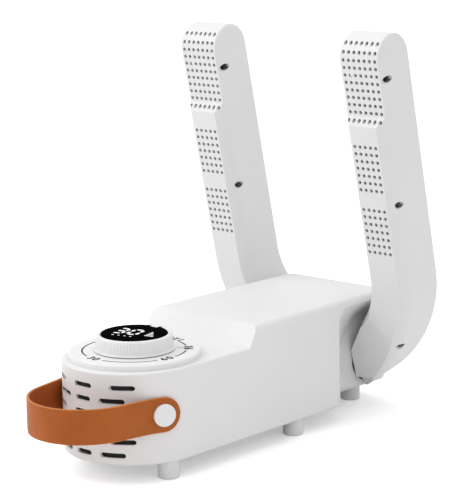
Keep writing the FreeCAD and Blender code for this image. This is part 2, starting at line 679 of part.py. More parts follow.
def vent_pins(label, columns, rows, low_z):
    """The pins that pierce one field of the arm's perforation."""
    body = new_body(label)
    first_x = f"arm_x - vent_pitch * {(columns - 1) / 2}"
    pin = pad(body, "XZ_Plane", "-arm_ridge - 5", "arm_ridge - 1", circles=[(first_x, low_z, "vent_r")])
    repeat(body, pin, "X_Axis", f"vent_pitch * {columns - 1}", columns,
           ("Z_Axis", f"vent_row * {rows - 1}", rows))
    return body


def screw_axes():
    """For each arm screw: a point on the skin, the way in, and how far along it the back wall is."""
    slope = math.radians(25)

    def inward(x, z):
        return Vector(x * math.sin(slope), math.cos(slope), z * math.sin(slope))
    outer, inner = size("arm_x + arm_half"), size("arm_x - arm_half")
    spots = [(Vector(x, y, z), inward(side, 0))
             for z, y in ((243.4, -10.5), (144.5, -17.0)) for x, side in ((outer, -1), (inner, 1))]
    low, bend = math.radians(32), math.radians(34)
    sweep_x, sweep_z, sweep_r = size(SWEEP_CENTRE[0]), size(SWEEP_CENTRE[1]), size("sweep_r")
    spots.append((Vector(sweep_x + sweep_r * math.cos(low), -18.0, sweep_z - sweep_r * math.sin(low)),
                  inward(-math.cos(low), math.sin(low))))
    crook_x, crook_z, crook_r = size("arm_x - arm_half - crook_r"), size("crook_z"), size("crook_r")
    spots.append((Vector(crook_x + crook_r * math.cos(bend), -17.0, crook_z - crook_r * math.sin(bend)),
                  inward(math.cos(bend), -math.sin(bend))))
    reach = size("arm_back - arm_wall + 0.2")
    return [(point, way, (reach - point.y) / way.y) for point, way in spots]


def along_screws(radius, start, stop=None, short=0):
    """A cylinder on every screw axis, from start to stop, or to that much short of the back wall."""
    return Part.makeCompound([
        Part.makeCylinder(radius, (stop or reach - short) - start, point + way * start, way)
        for point, way, reach in screw_axes()])


def make_baffle():
    """The thin sheet behind the arm's perforations that spreads the air over them."""
    body = new_body("right_arm_baffle")
    lower = [("-19.5", "96"), ("-18.5", "96"), ("-18.5", "199.6"), ("-7", "211.1"), ("-7", "213"),
             ("-8", "213"), ("-8", "211.5"), ("-19.5", "200")]
    pad(body, "YZ_Plane", "arm_x - 11.2", "22.4", outlines=[lower])
    pad(body, "YZ_Plane", "arm_x - 15.8", "31.6", outlines=[rectangle("-8", "-7", "212.5", "267")])
    return body


def make_arm():
    length = arm_length("arm_outer", "0", "arm_end_x")
    dress(length, "Fillet", "1.5",
          lambda e: flat_at(e, "Y", size("arm_back")) and not flat_at(e, "X", size("arm_end_x"))
          and not flat_at(e, "Z", size("ramp_high_z")))
    head = add_head(new_body("arm_head"), "0")
    dress(head, "Fillet", "1.5",
          lambda e: e.BoundBox.XLength < 0.1 and not flat_at(e, "Z", size("ramp_high_z")))
    outer = boolean("Fuse", "arm_form", length, head)
    hollow = add_head(arm_length("arm_hollow", "arm_wall", "arm_end_x + 3"), "arm_wall")
    back_half = doc.addObject("Part::Box", "arm_back_half")
    back_half.Length, back_half.Width, back_half.Height = 160, 60, 400
    put(back_half, ("0", "parting_y", "-80"))
    end_hole = free_shape("arm_end_hole", Part.makeCylinder(
        size("tube_r + 0.1"), 12, Vector(size("arm_end_x") - 4, 0, 0), Vector(1, 0, 0)))
    posts = free_shape("arm_posts", along_screws(3.4, 7.5))
    shell = boolean("Cut", "arm_shell_hollow", outer, hollow)
    tools = [end_hole, free_shape("arm_scoops", along_screws(2.75, -6.0, stop=9.5)),
             free_shape("arm_screw_bores", along_screws(1.35, 9.0, short=4.0)),
             vent_pins("upper_vents", 7, 11, "upper_vent_z"),
             vent_pins("middle_vents", 5, 7, "middle_vent_z"),
             vent_pins("lower_vents", 5, 7, "lower_vent_z")]
    pierced = boolean("Cut", "arm_pierced", boolean("Fuse", "arm_with_posts", shell, posts),
                      group("arm_tools", tools))
    front = boolean("Cut", "right_arm_shell", pierced, back_half)
    back = boolean("Common", "right_arm_back", pierced, back_half)
    screws = boolean("Fuse", "right_arm_screws",
                     free_shape("arm_screw_heads", along_screws(2.6, 7.5, stop=9.5)),
                     free_shape("arm_screw_shafts", along_screws(1.3, 9.5, short=5.0)))
    lean = ("0", "pivot_y", "pivot_z"), (1, 0, 0, "arm_lean")
    baffle = make_baffle()
    for item in (front, back, screws, baffle):
        put(item, *lean)
    return [front, back, screws, baffle]


def make_pivot():
    """The hollow pivot of one arm: tube, ring, washer, and the bush in the hub wall."""
    at = ("0", "pivot_y", "pivot_z")
    tube = [("tube_bore_r", "26.5"), ("13.4", "26.5"), ("tube_r", "27.1"), ("tube_r", "27.8"),
            ("13.1", "27.8"), ("13.1", "29.2"), ("tube_r", "29.2"),
            ("tube_r", "arm_end_x + 2.9"), ("tube_bore_r", "arm_end_x + 2.9")]
    bush_bore = "tube_r + running_gap"
    bush = [(bush_bore, "29.5"), ("20", "29.5"), ("20", "31.3"), ("bush_r", "31.3"),
            ("bush_r", "hub_x - 0.1"), (bush_bore, "hub_x - 0.1")]
    return [turned("right_pivot_tube", tube, at, "X"),
            turned("right_retaining_ring", ring("13.15", "16.6", "27.9", "29.1"), at, "X"),
            turned("right_friction_washer", ring("14.4", "20", "33.75", "34.7"), at, "X"),
            turned("right_hub_bush", bush, at, "X")]


# ---------------------------------------------------------------- fan, heater, duct, electrics

def make_fan():
    half = "fan_side / 2"
    frame = new_body("fan_frame")
    pad(frame, "XZ_Plane", "fan_y", "fan_deep",
        outlines=[rectangle(f"-{half}", half, f"fan_z - {half}", f"fan_z + {half}")],
        circles=[("0", "fan_z", "fan_bore_r")])
    rear = "fan_y + fan_deep - 3"
    for outline in (rectangle("-37", "37", "fan_z - 1.5", "fan_z + 1.5"),
                    rectangle("-1.5", "1.5", "fan_z - 37", "fan_z + 37")):
        pad(frame, "XZ_Plane", rear, "3", outlines=[outline])
    pad(frame, "XZ_Plane", rear, "3", circles=[("0", "fan_z", "15")])
    at = ("0", "fan_y", "fan_z")
    motor = turned("fan_motor", ring("1.55", "12", "8", "22"), at, "Y")
    shaft = turned("fan_shaft", rectangle("0", "1.5", "3", "20"), at, "Y")
    rotor = new_body("fan_impeller")
    hub = rotor.newObject("PartDesign::Revolution", "fan_impeller_turn")
    cup = [("1.5", "2"), ("16", "2"), ("16", "19"), ("13", "19"), ("13", "5"), ("1.5", "5")]
    cup_sketch = sketch(rotor, "XZ_Plane", outlines=[cup])
    hub.Profile = cup_sketch
    hub.ReferenceAxis = (cup_sketch, ["V_Axis"])
    rotor.Tip = hub
    blade = pad(rotor, "YZ_Plane", "15.4", "19",
                outlines=[[("-7", "3.5"), ("-5.2", "3.5"), ("7", "18"), ("5.2", "18")]])
    wheel = rotor.newObject("PartDesign::PolarPattern", "fan_impeller_blades")
    wheel.Originals = [blade]
    wheel.Axis = (origin_item(rotor, "Z_Axis"), [""])
    wheel.Occurrences = 7
    rotor.Tip = wheel
    put(rotor, at, (1, 0, 0, -90))
    return [frame, motor, shaft, rotor]


def make_heater():
    y, half = "fan_y + fan_deep + 6", "fan_side / 2"
    frame = new_body("heater_frame")
    pad(frame, "XZ_Plane", y, "20",
        outlines=[rectangle(f"-{half}", half, f"fan_z - {half}", f"fan_z + {half}"),
                  rectangle("-33", "33", "fan_z - 31", "fan_z + 31")])
    core = new_body("heater_core")
    pad(core, "XZ_Plane", f"{y} + 2", "15",
        outlines=[rectangle("-32.8", "32.8", "fan_z - 30.8", "fan_z + 30.8")])
    gap = pocket(core, "XZ_Plane", f"{y} + 1", "18",
                 outlines=[rectangle("-30.4", "-28.4", "fan_z - 28", "fan_z - 2"),
                           rectangle("-30.4", "-28.4", "fan_z + 2", "fan_z + 28")])
    repeat(core, gap, "X_Axis", "58.8", 15)
    cutout = turned("thermal_cutout", [("0", "0"), ("6.5", "0"), ("6.5", "4"), ("3", "4"), ("3", "6"),
                                       ("0", "6")], ("20", "fan_y + fan_deep + 23.05", "fan_z"), "Y")
    return [frame, core, cutout]


def make_duct():
    body = new_body("air_duct")
    start, neck, end = "fan_y + fan_deep + 26.4", "104", "168"

    def mouth(inset):
        return rectangle(f"-37 + {inset}", f"37 - {inset}", f"fan_z - 37 + {inset}", f"fan_z + 37 - {inset}")

    def throat(inset):
        return rectangle(f"-23 + {inset}", f"23 - {inset}", f"27 + {inset}", f"66 - {inset}")
    for kind, inset in (("AdditiveLoft", "0"), ("SubtractiveLoft", "1.6")):
        first = sketch(body, "XZ_Plane", start, outlines=[mouth(inset)])
        last = sketch(body, "XZ_Plane", neck, outlines=[throat(inset)])
        loft = body.newObject("PartDesign::" + kind, "air_duct_" + kind.lower())
        loft.Profile = first
        loft.Sections = [last]
        loft.Ruled = True
        body.Tip = loft
        if kind == "AdditiveLoft":
            pad(body, "XZ_Plane", neck, f"{end} - {neck}", outlines=[throat("0")])
            pad(body, "YZ_Plane", "0", "2 * 26", "both", circles=[("pivot_y", "pivot_z", "11.6")])
    pocket(body, "XZ_Plane", neck, f"{end} - {neck} - 1.6", outlines=[throat("1.6")])
    pocket(body, "YZ_Plane", "0", "2 * 27", "both", circles=[("pivot_y", "pivot_z", "10")])
    return body


def make_electrics():
    z = "base_z + plate_thick + 5"
    board = new_body("control_board")
    pad(board, "XY_Plane", z, "1.6", outlines=[rectangle("-24", "24", "-108", "-66")])
    posts = [(x, y, "2.4") for x in ("-21", "21") for y in ("-105", "-69")]
    pad(board, "XY_Plane", "base_z + plate_thick", "5", circles=posts)
    relay = new_body("power_relay")
    pad(relay, "XY_Plane", f"{z} + 1.6", "15", outlines=[rectangle("-20", "-4", "-100", "-80")])
    capacitor = turned("supply_capacitor", rectangle("0", "6", "0", "16"), ("10", "-90", f"{z} + 1.6"))
    inlet = new_body("power_inlet")
    pad(inlet, "XZ_Plane", "rear_y - 6.4", "1.0", "-", outlines=[rectangle("-13", "13", "26.2", "46")])
    pad(inlet, "XZ_Plane", "rear_y - 7", "6.6", outlines=[rectangle("-10.8", "10.8", "28.2", "43.8")])
    pocket(inlet, "XZ_Plane", "rear_y - 5", "8",
           slots=[("-7.5", "7.5", "36", "8.4")])
    pins = new_body("inlet_pins")
    pad(pins, "XZ_Plane", "rear_y - 5", "4.2", circles=[("-3.4", "36", "1.2"), ("3.4", "36", "1.2")])
    return [board, relay, capacitor, inlet, pins]


# ---------------------------------------------------------------- the whole object

keep(make_housing(), make_base_plate(), make_feet(), make_base_screws(), make_intake_filter())
keep(make_dial_plate(), make_knob(), *make_display(), *make_knob_parts())
outer_skin = "half_width + strap_gap + strap_thick"
keep(make_strap(),
     radial_pin("strap_buttons", [("0", f"{outer_skin} + 0.25"), ("button_r", f"{outer_skin} + 0.25"),
                                  ("button_r", f"{outer_skin} + 1.3"),
                                  ("button_r - 0.9", f"{outer_skin} + 2.1", "0.9"),
                                  ("0", f"{outer_skin} + 2.4")]),
     radial_pin("strap_screws", [("0", "half_width - wall - 2"), ("3.6", "half_width - wall - 2"),
                                 ("3.6", "half_width - wall - 0.3"), ("2", "half_width - wall - 0.3"),
                                 ("2", outer_skin), ("0", outer_skin)]))
right_arm = make_arm()
right_pivot = make_pivot()
for piece in right_arm + right_pivot:
    keep(piece, mirror_of(piece.Label.replace("right", "left"), piece))
keep(*make_fan(), *make_heater(), make_duct(), *make_electrics())

doc.recompute()
for item in doc.Objects:
    if {"Invalid", "Error"} & set(item.State):
        raise RuntimeError(f"{item.Label} failed: {item.State}")
    if item.TypeId in ("PartDesign::Pocket", "PartDesign::SubtractiveLoft"):
        before = item.BaseFeature.Shape.Volume if item.BaseFeature else 0
        if before and item.Shape.Volume > before - 0.5:
            raise RuntimeError(f"{item.Label} cuts nothing")
os.makedirs("parts", exist_ok=True)
for node in NODES:
    if node.Shape.isNull() or not node.Shape.isValid():
        raise RuntimeError(f"{node.Label} has no valid shape")
    node.Shape.exportStep(f"parts/{node.Label}.step")
    print(f"{node.Label}: {len(node.Shape.Solids)} solids, {node.Shape.Volume / 1000:.2f} cm3")
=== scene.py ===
import json
import math

import bmesh
import bpy
from mathutils import Matrix, Vector


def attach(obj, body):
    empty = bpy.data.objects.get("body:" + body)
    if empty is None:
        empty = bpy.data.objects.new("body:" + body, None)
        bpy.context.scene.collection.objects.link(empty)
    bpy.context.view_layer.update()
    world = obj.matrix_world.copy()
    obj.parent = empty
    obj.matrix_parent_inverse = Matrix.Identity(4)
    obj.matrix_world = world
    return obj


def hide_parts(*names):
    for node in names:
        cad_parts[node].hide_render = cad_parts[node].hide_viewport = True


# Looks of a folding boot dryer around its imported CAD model. Lengths are metres in the row frame.

MM = 0.001
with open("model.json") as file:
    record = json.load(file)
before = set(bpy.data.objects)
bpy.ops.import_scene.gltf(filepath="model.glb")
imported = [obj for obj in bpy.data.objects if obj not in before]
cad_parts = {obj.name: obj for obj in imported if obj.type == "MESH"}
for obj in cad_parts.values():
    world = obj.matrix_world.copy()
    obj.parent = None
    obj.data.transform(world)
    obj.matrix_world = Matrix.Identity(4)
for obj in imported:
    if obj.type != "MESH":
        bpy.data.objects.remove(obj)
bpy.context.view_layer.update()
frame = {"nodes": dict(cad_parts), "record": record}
nodes = frame["nodes"]


# ---------------------------------------------------------------- materials

class Shader:
    """A node material under construction around one Principled BSDF."""

    def __init__(self, name, **sockets):
        self.material = bpy.data.materials.new(name)
        self.material.use_nodes = True
        self.tree = self.material.node_tree
        self.bsdf = self.tree.nodes["Principled BSDF"]
        for socket, value in sockets.items():
            self.bsdf.inputs[socket.replace("_", " ")].default_value = value
        self.place = self.add("ShaderNodeTexCoord").outputs["Object"]

    def add(self, kind, **values):
        node = self.tree.nodes.new(kind)
        for name, value in values.items():
            if name in node.inputs:
                node.inputs[name].default_value = value
            else:
                setattr(node, name, value)
        return node

    def link(self, source, target):
        self.tree.links.new(source, target)

    def stretched(self, scale):
        mapping = self.add("ShaderNodeMapping")
        mapping.inputs["Scale"].default_value = scale
        self.link(self.place, mapping.inputs["Vector"])
        return mapping.outputs["Vector"]

    def noise(self, scale, detail=3.0, rough=0.5, vector=None):
        node = self.add("ShaderNodeTexNoise", Scale=scale, Detail=detail, Roughness=rough)
        self.link(vector or self.place, node.inputs["Vector"])
        return node.outputs["Fac"]

    def cell_edges(self, scale):
        node = self.add("ShaderNodeTexVoronoi", feature="DISTANCE_TO_EDGE", Scale=scale)
        self.link(self.place, node.inputs["Vector"])
        return node.outputs["Distance"]

    def ramp(self, fac, *stops):
        """Colour between two stops of (position, colour)."""
        node = self.add("ShaderNodeValToRGB")
        for stop, (position, colour) in zip(node.color_ramp.elements, stops):
            stop.position = position
            stop.color = (*colour, 1)
        self.link(fac, node.inputs["Fac"])
        return node.outputs["Color"]

    def spread(self, fac, low, high):
        """The factor's usual 0.3 to 0.7 mapped to low to high."""
        node = self.add("ShaderNodeMapRange")
        for name, value in (("From Min", 0.3), ("From Max", 0.7), ("To Min", low), ("To Max", high)):
            node.inputs[name].default_value = value
        self.link(fac, node.inputs["Value"])
        return node.outputs["Result"]

    def colour(self, output):
        self.link(output, self.bsdf.inputs["Base Color"])

    def roughness(self, output):
        self.link(output, self.bsdf.inputs["Roughness"])

    def bump(self, *layers):
        """Layers of (height, strength, distance), stacked in order."""
        below = None
        for height, strength, distance in layers:
            node = self.add("ShaderNodeBump", Strength=strength, Distance=distance)
            self.link(height, node.inputs["Height"])
            if below:
                self.link(below, node.inputs["Normal"])
            below = node.outputs["Normal"]
        self.link(below, self.bsdf.inputs["Normal"])


def tint(colour, factor):
    return tuple(min(c * factor, 1.0) for c in colour)


def moulded(name, colour, roughness, spark=1300.0, depth=0.00003, **sockets):
    """Moulded plastic: faint flow shading, a fine spark-eroded grain and uneven gloss."""
    sh = Shader(name, **sockets)
    broad, fine = sh.noise(14.0, 4.0), sh.noise(spark, 2.0)
    sh.colour(sh.ramp(broad, (0.3, tint(colour, 0.975)), (0.7, tint(colour, 1.01))))
    sh.roughness(sh.spread(sh.noise(60.0, 5.0, 0.6), roughness - 0.05, roughness + 0.05))
    sh.bump((fine, 0.35, depth), (sh.noise(90.0, 2.0), 0.10, 0.0001))
    return sh.material


def leather(name, dark, light, depth):
    """Dyed leather: mottled colour, pebbled grain with fine creases, satin finish."""
    sh = Shader(name, Specular_IOR_Level=0.18)
    mottle = sh.noise(38.0, 5.0, 0.6)
    sh.colour(sh.ramp(mottle, (0.25, dark), (0.75, light)))
    sh.roughness(sh.spread(sh.noise(240.0, 4.0), 0.40, 0.52))
    sh.bump((sh.cell_edges(1500.0), 0.5, depth), (sh.noise(420.0, 5.0), 0.35, depth))
    return sh.material


def metal(name, colour, roughness):
    """Metal with fine drawn lines."""
    sh = Shader(name, Metallic=1.0)
    lines = sh.noise(1.0, 3.0, vector=sh.stretched((30.0, 30.0, 1400.0)))
    sh.colour(sh.ramp(lines, (0.3, tint(colour, 0.9)), (0.7, tint(colour, 1.05))))
    sh.roughness(sh.spread(lines, roughness - 0.06, roughness + 0.08))
    sh.bump((lines, 0.25, 0.00003))
    return sh.material


def gloss(name, colour, roughness, **sockets):
    """A polished surface with the faintest haze and waviness."""
    sh = Shader(name, **sockets)
    sh.colour(sh.ramp(sh.noise(220.0, 3.0), (0.3, tint(colour, 0.85)), (0.7, tint(colour, 1.15))))
    sh.roughness(sh.spread(sh.noise(500.0, 4.0), roughness, roughness + 0.05))
    sh.bump((sh.noise(35.0, 2.0), 0.04, 0.0001))
    return sh.material


def woven(name, colour, pitch):
    """A plain weave seen as crossed ridges."""
    sh = Shader(name, Roughness=0.85)
    wires = []
    for scale in ((pitch, 0.0, pitch), (0.0, pitch, pitch * 0.2)):
        wave = sh.add("ShaderNodeTexWave", Scale=1.0, Distortion=0.3)
        sh.link(sh.stretched(scale), wave.inputs["Vector"])
        wires.append(wave.outputs["Fac"])
    both = sh.add("ShaderNodeMath", operation="MULTIPLY")
    sh.link(wires[0], both.inputs[0])
    sh.link(wires[1], both.inputs[1])
    sh.colour(sh.ramp(both.outputs["Value"], (0.1, tint(colour, 0.5)), (0.8, tint(colour, 1.4))))
    sh.bump((both.outputs["Value"], 0.6, 0.0002))
    return sh.material


WHITE = (0.725, 0.715, 0.718)
shell = moulded("white_moulded_shell", WHITE, 0.42)
arm_shell = moulded("white_moulded_arm", (0.715, 0.708, 0.710), 0.46)
foot_white = moulded("white_moulded_foot", (0.70, 0.695, 0.695), 0.55)
dial_white = moulded("white_dial_satin", (0.745, 0.742, 0.742), 0.34)
black = moulded("black_moulded", (0.018, 0.018, 0.019), 0.5)
# without its specular share, which at the low camera angle would mirror the white studio
window = gloss("display_black_gloss", (0.003, 0.003, 0.0035), 0.12, Specular_IOR_Level=0.0)
ink = moulded("printed_ink", (0.012, 0.012, 0.014), 0.6, depth=0.00001, Specular_IOR_Level=0.05)
glow = moulded("display_glow", (0.93, 0.94, 0.95), 0.5)
tan = leather("tan_leather_face", (0.335, 0.082, 0.012), (0.405, 0.107, 0.018), 0.00012)
suede = leather("tan_leather_back", (0.31, 0.066, 0.010), (0.40, 0.092, 0.015), 0.0002)
# a lighter brown on the band's rounded edges and ends: painted highlight where the edges catch the
# light
painted_edge_highlight = leather("tan_leather_painted_edge_highlight", (0.46, 0.15, 0.032), (0.58, 0.20, 0.05), 0.00015)
steel = metal("turned_steel", (0.60, 0.60, 0.61), 0.28)
alloy = metal("heater_alloy", (0.72, 0.72, 0.73), 0.38)
brass = metal("pin_brass", (0.80, 0.60, 0.28), 0.22)
board = gloss("green_lacquer", (0.02, 0.16, 0.06), 0.25)
mesh_black = woven("filter_weave", (0.02, 0.02, 0.02), 2600.0)
washer = moulded("washer_rubber", (0.02, 0.02, 0.02), 0.75, spark=700.0)

NODE_LOOKS = {
    "white_shell": shell, "foot_plastic": foot_white, "knob_plastic": dial_white,
    "button_plastic": dial_white, "display_gloss": window, "black_plastic": black,
    "leather_strap": tan, "steel": steel, "heater_aluminium": alloy, "brass_pins": brass,
    "rubber_washer": washer, "circuit_board": board, "filter_mesh": mesh_black,
}
for part in frame["record"]["subparts"]:
    look = NODE_LOOKS[part["material_slot"]]
    if "_arm_" in part["node"] and look is shell:
        look = arm_shell
    if part["node"] == "dial_plate":
        look = dial_white
    mesh = nodes[part["node"]].data
    mesh.materials.clear()
    mesh.materials.append(look)


# ---------------------------------------------------------------- mesh helpers

def piece(name, bm, material, body, replaced=(), smooth=True):
    """A finished bmesh as an object that rides on a body."""
    bmesh.ops.recalc_face_normals(bm, faces=bm.faces)
    mesh = bpy.data.meshes.new(name)
    bm.to_mesh(mesh)
    bm.free()
    for one in material if isinstance(material, (list, tuple)) else [material]:
        mesh.materials.append(one)
    for polygon in mesh.polygons:
        polygon.use_smooth = smooth
    obj = bpy.data.objects.new(name, mesh)
    bpy.context.collection.objects.link(obj)
    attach(obj, body)
    if replaced:
        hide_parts(*replaced)


def grid_faces(bm, rings, closed_ring=True, closed_path=False):
    """Quads between successive rings of vertices."""
    made = []
    pairs = list(zip(rings, rings[1:]))
    if closed_path:
        pairs.append((rings[-1], rings[0]))
    for a, b in pairs:
        count = len(a)
        for k in range(count if closed_ring else count - 1):
            made.append(bm.faces.new((a[k], a[(k + 1) % count], b[(k + 1) % count], b[k])))
    return made


# ---------------------------------------------------------------- knob

NOSE_Y = -83.8
NOSE = Vector((0, NOSE_Y, 0)) * MM
RIBS, PER_RIB = 72, 8


def rib(angle):
    """0 in a groove to 1 on a rib's round back."""
    return abs(math.sin(angle * RIBS / 2)) ** 0.6


# radius, height and how deep the ribs go there, in millimetres, around the ring's section
KNOB = [(21.7, 76.1, 0), (21.7, 87.0, 0), (29.4, 86.95, 0), (29.9, 87.1, 0), (30.0, 87.5, 0),
        (29.7, 87.95, 0), (28.9, 88.2, 0), (28.75, 88.6, 0), (28.75, 88.9, 0.32), (28.6, 92, 0.4),
        (28.4, 96.4, 0.4), (28.2, 97.3, 0.25), (27.9, 98.0, 0.06), (27.4, 98.4, 0), (26.6, 98.58, 0),
        (25.5, 98.6, 0), (25.12, 98.45, 0), (25.02, 98.1, 0), (25.02, 90.6, 0), (20.1, 90.55, 0),
        (20.1, 76.1, 0)]


def lathe(profile, steps):
    """The ribbed section turned about the dial's axis."""
    bm = bmesh.new()
    rings = []
    for k in range(steps):
        angle = 2 * math.pi * k / steps
        way = Vector((math.cos(angle), math.sin(angle), 0))
        groove = 1 - rib(angle)
        rings.append([bm.verts.new(NOSE + (way * (r - deep * groove) + Vector((0, 0, z))) * MM)
                      for r, z, deep in profile])
    grid_faces(bm, rings, closed_path=True)
    return bm


piece("knob_ribbed", lathe(KNOB, RIBS * PER_RIB), dial_white, "dial_knob", ("knob",))


# ---------------------------------------------------------------- strap

STRAP_HALF_WIDE, STRAP_HALF_THICK, STRAP_Z = 13.0, 1.0, 50.4
BUTTON_ANGLE = 66.0


def strap_path():
    """Mid-line of the right half from the band's end to the front, as (point, outward way).

    It hugs the nose at radius mid up to the angle leave, turns away in a reverse bend, runs
    straight, leaning inwards, and closes in a round front.
    """
    mid, leave, lean, bend, front = 55.15, 64.0, 11.0, 50.0, -176.2
    end = BUTTON_ANGLE + math.degrees(STRAP_HALF_WIDE / mid)
    sin_lean, cos_lean = math.sin(math.radians(lean)), math.cos(math.radians(lean))

    def around(degrees):
        angle = math.radians(degrees)
        return Vector((math.sin(angle), -math.cos(angle), 0))
    nose = Vector((0, NOSE_Y, 0))
    bend_centre = nose + around(leave) * (mid + bend)
    inward = Vector((-cos_lean, sin_lean, 0))
    straight = bend_centre + inward * bend
    run = ((front - straight.y) * cos_lean + straight.x * (1 - sin_lean)) / (sin_lean - 1)
    radius = (straight.x - run * sin_lean) / cos_lean
    loop = Vector((0, front + radius, 0))
    line = []
    for k in range(24):
        way = around(end + (leave - end) * k / 24)
        line.append((nose + way * mid, way))
    bend_start, bend_stop = math.radians(leave + 90), math.radians(180 - lean)
    for k in range(16):
        angle = bend_start + (bend_stop - bend_start) * k / 16
        way = Vector((math.cos(angle), math.sin(angle), 0))
        line.append((bend_centre + way * bend, -way))
    for k in range(10):
        line.append((straight.lerp(loop - inward * radius, k / 10), -inward))
    for k in range(41):
        angle = math.radians(-lean + (lean - 90) * k / 40)
        way = Vector((math.cos(angle), math.sin(angle), 0))
        line.append((loop + way * radius, way))
    return line


def strap_edge(flat, soft, degrees):
    """A point (across, through) of the band's rounded edge, by its angle round the section."""
    angle = math.radians(degrees)
    level = round(math.sin(angle) * 1.4)  # 1 towards the face, 0 halfway, -1 towards the back
    return (math.copysign(flat, math.cos(angle)) + soft * math.cos(angle),
            (STRAP_HALF_THICK - soft) * level + soft * math.sin(angle))


def strap_section(flat, soft, crown, across):
    """The section walked once round: crowned face, edge, flat back, edge."""
    face = [(t * flat, STRAP_HALF_THICK + crown * (1 - t * t)) for t in across]
    back = [(t * flat, -STRAP_HALF_THICK) for t in reversed(across)]
    return (face + [strap_edge(flat, soft, d) for d in (45, 0, -45)]
            + back + [strap_edge(flat, soft, d) for d in (-135, -180, -225)])


def make_strap():
    """The leather band, its left half mirrored from the right, with ends rounded in plan."""
    half = strap_path()
    line = half + [(Vector((-p.x, p.y, 0)), Vector((-w.x, w.y, 0))) for p, w in reversed(half[:-1])]
    travelled = [0.0]
    for (a, _), (b, _) in zip(line, line[1:]):
        travelled.append(travelled[-1] + (b - a).length)
    wide, soft, crown = STRAP_HALF_WIDE, 0.55, 0.10
    across = [k / 12 for k in range(-12, 13)]
    bm = bmesh.new()
    rings = []
    for (point, way), s in zip(line, travelled):
        near_end = min(s, travelled[-1] - s)
        reach = wide if near_end >= wide else math.sqrt(max(wide ** 2 - (wide - near_end) ** 2, 0.02))
        section = strap_section(max(reach - soft, 0.01), soft, crown, across)
        rings.append([bm.verts.new((point + way * out + Vector((0, 0, STRAP_Z + up))) * MM)
                      for up, out in section])
    face_quads = len(across) - 1
    back_start = len(across) + 3
    faces = grid_faces(bm, rings)
    for k, face in enumerate(faces):
        place = k % len(rings[0])
        on_back = back_start <= place < back_start + face_quads
        # index 2, the edges and ends, takes the lighter brown that paints their highlight
        face.material_index = 0 if place < face_quads else 1 if on_back else 2
    for ring in (rings[0], rings[-1]):
        bm.faces.new(ring).material_index = 2
    piece("leather_strap", bm, [tan, suede, painted_edge_highlight], "base", ("carry_strap",))


make_strap()


# ---------------------------------------------------------------- prints on the dial and the display

def stamp(name, polygons, low, high, material, body):
    """Thin raised printing from outlines in millimetres."""
    bm = bmesh.new()
    for outline in polygons:
        rings = [[bm.verts.new(Vector((x, y, z)) * MM) for x, y in outline] for z in (low, high)]
        grid_faces(bm, rings)
        bm.faces.new(rings[0])
        bm.faces.new(rings[1])
    piece(name, bm, material, body, smooth=False)


def dial_point(radius, degrees):
    """A point about the dial's axis, the angle counted from the front towards +X."""
    angle = math.radians(degrees)
    return radius * math.sin(angle), NOSE_Y - radius * math.cos(angle)


def arc_band(radius, width, start, stop):
    """The outline of a printed arc."""
    inner, outer = radius - width / 2, radius + width / 2
    turn = [start + (stop - start) * k / 24 for k in range(25)]
    return [dial_point(outer, t) for t in turn] + [dial_point(inner, t) for t in reversed(turn)]


# a closed ring line is broken by the numbers, with a tick across it beside the knob
SCALE_R, SCALE_LINE = 38.7, 1.15
PRINT_LOW, PRINT_MIDDLE, PRINT_HIGH = 86.49, 86.53, 86.56
ARCS = [(-150, -19), (8, 70), (94, 121), (146, 166)]
TICK = [dial_point(31.0, 134.4), dial_point(36.5, 134.6), dial_point(36.5, 135.4),
        dial_point(31.0, 135.6)]
stamp("dial_scale", [arc_band(SCALE_R, SCALE_LINE, a, b) for a, b in ARCS] + [TICK],
      PRINT_LOW, PRINT_HIGH, ink, "base")


def dial_number(name, text, centre, turn):
    """Flat figures printed on the dial as a thin mesh, laid at centre and turned about Z."""
    curve = bpy.data.curves.new(name + "_text", "FONT")
    curve.body = text
    curve.size = 9.0 * MM
    curve.align_x = "CENTER"
    curve.align_y = "CENTER"
    curve.extrude = 0.03 * MM
    curve.offset = 0.34 * MM
    curve.space_character = 1.25
    source = bpy.data.objects.new(name + "_text", curve)
    bpy.context.collection.objects.link(source)
    graph = bpy.context.evaluated_depsgraph_get()
    mesh = bpy.data.meshes.new_from_object(source.evaluated_get(graph))
    bpy.data.objects.remove(source)
    bm = bmesh.new()
    bm.from_mesh(mesh)
    bpy.data.meshes.remove(mesh)
    centre = Vector((*centre, PRINT_MIDDLE)) * MM
    place = Matrix.Translation(centre) @ Matrix.Rotation(math.radians(turn), 4, "Z")
    bmesh.ops.transform(bm, matrix=place, verts=bm.verts)
    bmesh.ops.remove_doubles(bm, verts=bm.verts, dist=1e-7)
    piece(name, bm, ink, "base", smooth=False)


NUMBERS = [("30", -5.5, SCALE_R), ("60", 82, SCALE_R), ("90", 134, 40.2), ("120", 177, 42)]
for label, degrees, radius in NUMBERS:
    dial_number(f"dial_number_{label}", label, dial_point(radius, degrees), degrees)

# the seven bars of a figure from end to end: widths across, half heights up
SEGMENTS = {"a": (0, 2, 1, 2), "b": (1, 1, 1, 2), "c": (1, 0, 1, 1), "d": (0, 0, 1, 0),
            "e": (0, 0, 0, 1), "f": (0, 1, 0, 2), "g": (0, 1, 1, 1)}
DIGITS = {"0": "abcdef", "3": "abgcd"}


def display_place(x, y):
    """Display coordinates, turned a little to face whoever stands at the front corner."""
    turn = math.radians(14)
    return (x * math.cos(turn) - y * math.sin(turn), NOSE_Y + x * math.sin(turn) + y * math.cos(turn))


def bar(x0, y0, x1, y1, thick):
    """One bar with pointed ends."""
    start, end = Vector((x0, y0)), Vector((x1, y1))
    way = (end - start).normalized()
    side = Vector((-way.y, way.x)) * thick / 2
    start, end = start + way * thick * 0.3, end - way * thick * 0.3
    tip = way * thick / 2
    outline = [start, start + tip + side, end - tip + side, end, end - tip - side, start + tip - side]
    return [display_place(p.x, p.y) for p in outline]


